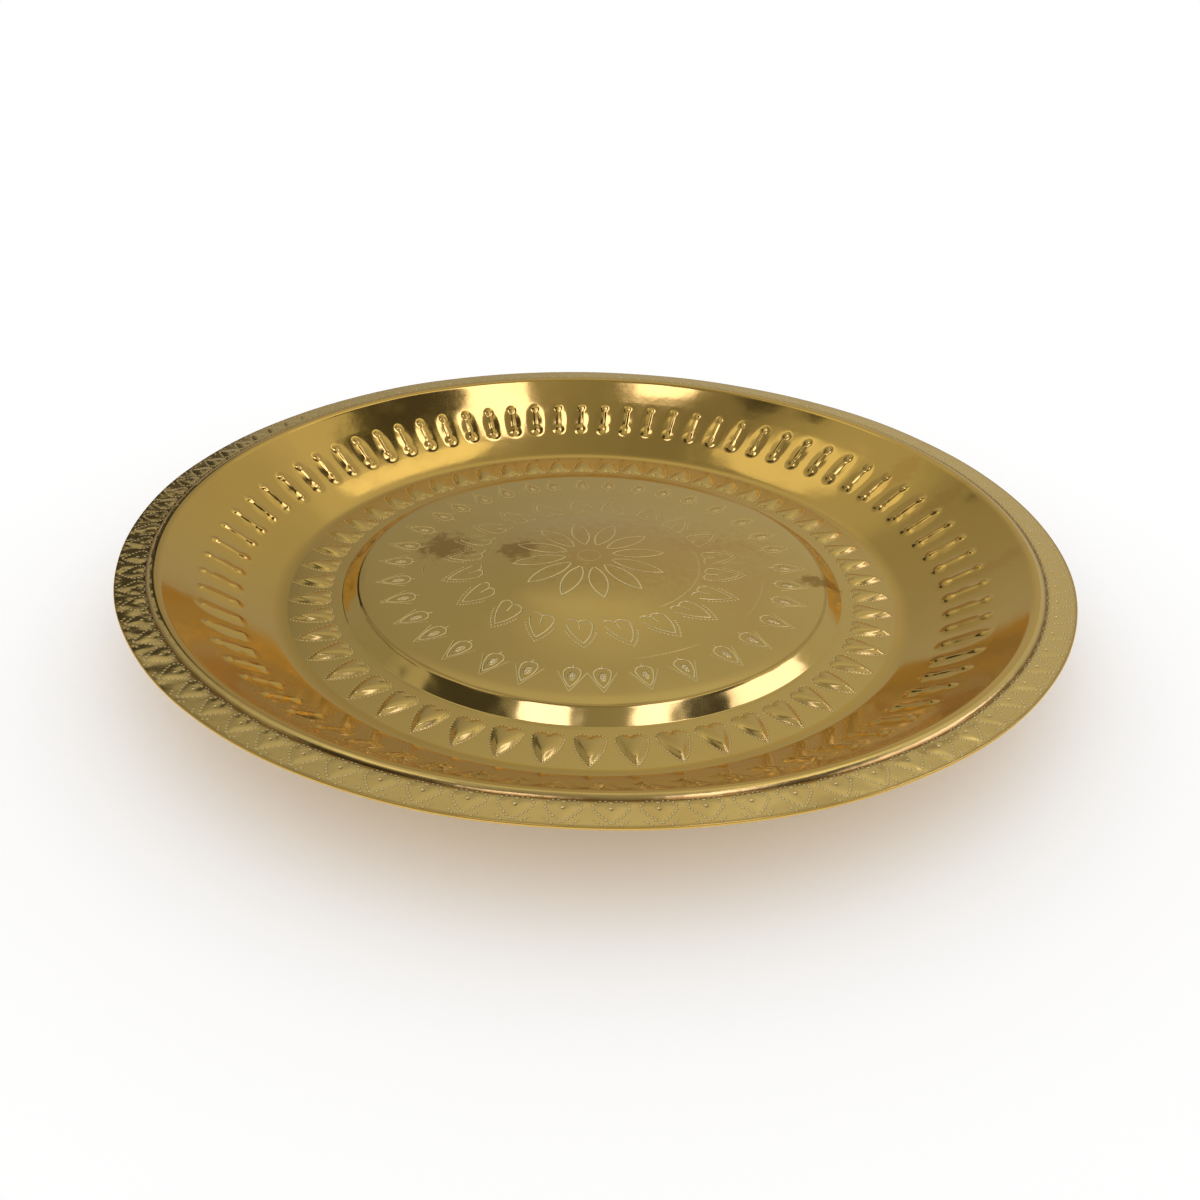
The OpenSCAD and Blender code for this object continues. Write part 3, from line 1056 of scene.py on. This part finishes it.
# %% The tent and the low band
GREY, HIGH_UP, OVERHEAD, RIGHT_SIDE = 0.34, 0.15, 0.28, 0.14
HIGH_AT, OVERHEAD_AT, RIGHT_AT = (0.6, 0.72), (0.8, 1.0), (-0.4, 0.4)
CLOTH_BLUE = 0.97
bpy.ops.mesh.primitive_uv_sphere_add(segments=64, ring_count=32, radius=TENT_R)
tent = bpy.context.object
tent.name = "tent"
cloth = glow("tent cloth", (0.4, 0.4, 0.4, 1))
place = cloth.nodes.new("ShaderNodeSeparateXYZ")
cloth.plug(place, 0, cloth.place)
rightwards = Wire(cloth, place.outputs[0]) / TENT_R
upwards = Wire(cloth, place.outputs[2]) / TENT_R
level = (GREY + upwards.step(*HIGH_AT) * HIGH_UP - upwards.step(*OVERHEAD_AT) * OVERHEAD
         + rightwards.step(*RIGHT_AT) * RIGHT_SIDE)
tone = cloth.add("ShaderNodeCombineColor", None, {0: level, 1: level, 2: level * CLOTH_BLUE})
cloth.plug(cloth.nodes["Emission"], "Color", tone)
tent.data.materials.append(cloth.material)
only_in_metal(tent)

# Degrees from the zenith at the foot and the top of the band, and around it from the right
BAND_FOOT, BAND_TOP = 99, 84.5
band = np.radians(np.linspace(30, 150, 25))
band = np.column_stack([np.cos(band), np.sin(band)])
card("low tan", np.vstack([band * BAND_FOOT, band[::-1] * BAND_TOP]), LOW_TAN)
print("Tent: %.1f m in radius" % TENT_R)

# %% [markdown]
# ## Panels and dark cards
# The step around the centre and the far wall are narrow mirrors that look up at the same part
# of the sky. Going round them one sees bright and dark stretches with sharp ends, and each of
# those is a card, placed where the metal's slope sends the eye. The lamps make the brightest
# stretches, the bands the softer ones low on the far wall, and the dark cards the rest.

# %% Panels and cards
CARDS = [
    ("dark shelf", CREAM * 0.04, [(-26.8, 49), (-26.8, 60.5), (-50, 64), (-50, 43)]),
    ("dark edge left", CREAM * 0.12, [(-52, 38), (-50.4, 38), (-41, 12), (-43.5, 12)]),
    ("lamp left", LAMP * 2.6, [(-13, -4.5), (-17, -7), (-16, -12), (-4, -15), (-5, -6)]),
    ("lamp right", LAMP * 2.5,
     [(11, -14), (17, -14), (21.5, -6), (20, 6), (12, 6), (10, -3), (13, -6)]),
    ("band right", CREAM * 1.25,
     [(13, 8), (18, 8), (21.5, 15), (24, 23), (26, 33), (21.5, 34), (19, 25), (15.5, 16)]),
    ("band left", CREAM * 0.95,
     [(-13, 10), (-18, 10), (-25, 15), (-27, 24), (-22, 31), (-17, 22)]),
    ("lamp side", LAMP * 2.1,
     [(35, -6), (46, -8), (50, 8), (51, 24), (45, 24), (38.5, 14), (35, 6)]),
    ("dark left", CREAM * 0.06,
     [(-41, -12), (-20, -12), (-20, 3), (-27, 4), (-28, 11), (-38, 12)]),
    ("dark right", CREAM * 0.06,
     [(23, -12), (33.5, -12), (34, 12), (31, 17), (30, 25), (26.5, 22), (23.5, 14),
      (20.8, 6), (22, -3)])]
for name, level, outline in CARDS:
    card(name, outline, level)
print(len(CARDS), "cards")

# %% [markdown]
# ## The camera
# The camera looks down at the plate from the front, at the photograph's angle and as near as
# the photograph's strong perspective asks for. It leans sideways by a degree or two. A matrix
# from its own right, up and backward directions says all of that at once.

# %% Camera
scene = bpy.context.scene
PITCH, ROLL = math.radians(31.0), math.radians(1.87)
LENS = 28.8
CAMERA_AT = (0.00128, -0.29853, 0.1694)
camera_data = bpy.data.cameras.new("camera")
camera_data.lens = LENS
camera_data.sensor_width = 36.0
camera_data.clip_start = 0.01
camera = bpy.data.objects.new("camera", camera_data)
scene.collection.objects.link(camera)
ahead = np.array([0, math.cos(PITCH), -math.sin(PITCH)])
level_right, level_up = np.array([1.0, 0, 0]), np.array([0, math.sin(PITCH), math.cos(PITCH)])
right = math.cos(ROLL) * level_right + math.sin(ROLL) * level_up
up = -math.sin(ROLL) * level_right + math.cos(ROLL) * level_up
turn = np.eye(4)
turn[:3, 0], turn[:3, 1], turn[:3, 2], turn[:3, 3] = right, up, -ahead, CAMERA_AT
camera.matrix_world = Matrix(turn)
scene.camera = camera
scene.view_settings.view_transform = "Standard"
print("Camera %.0f mm from the plate's middle" % (np.linalg.norm(CAMERA_AT) / MM))
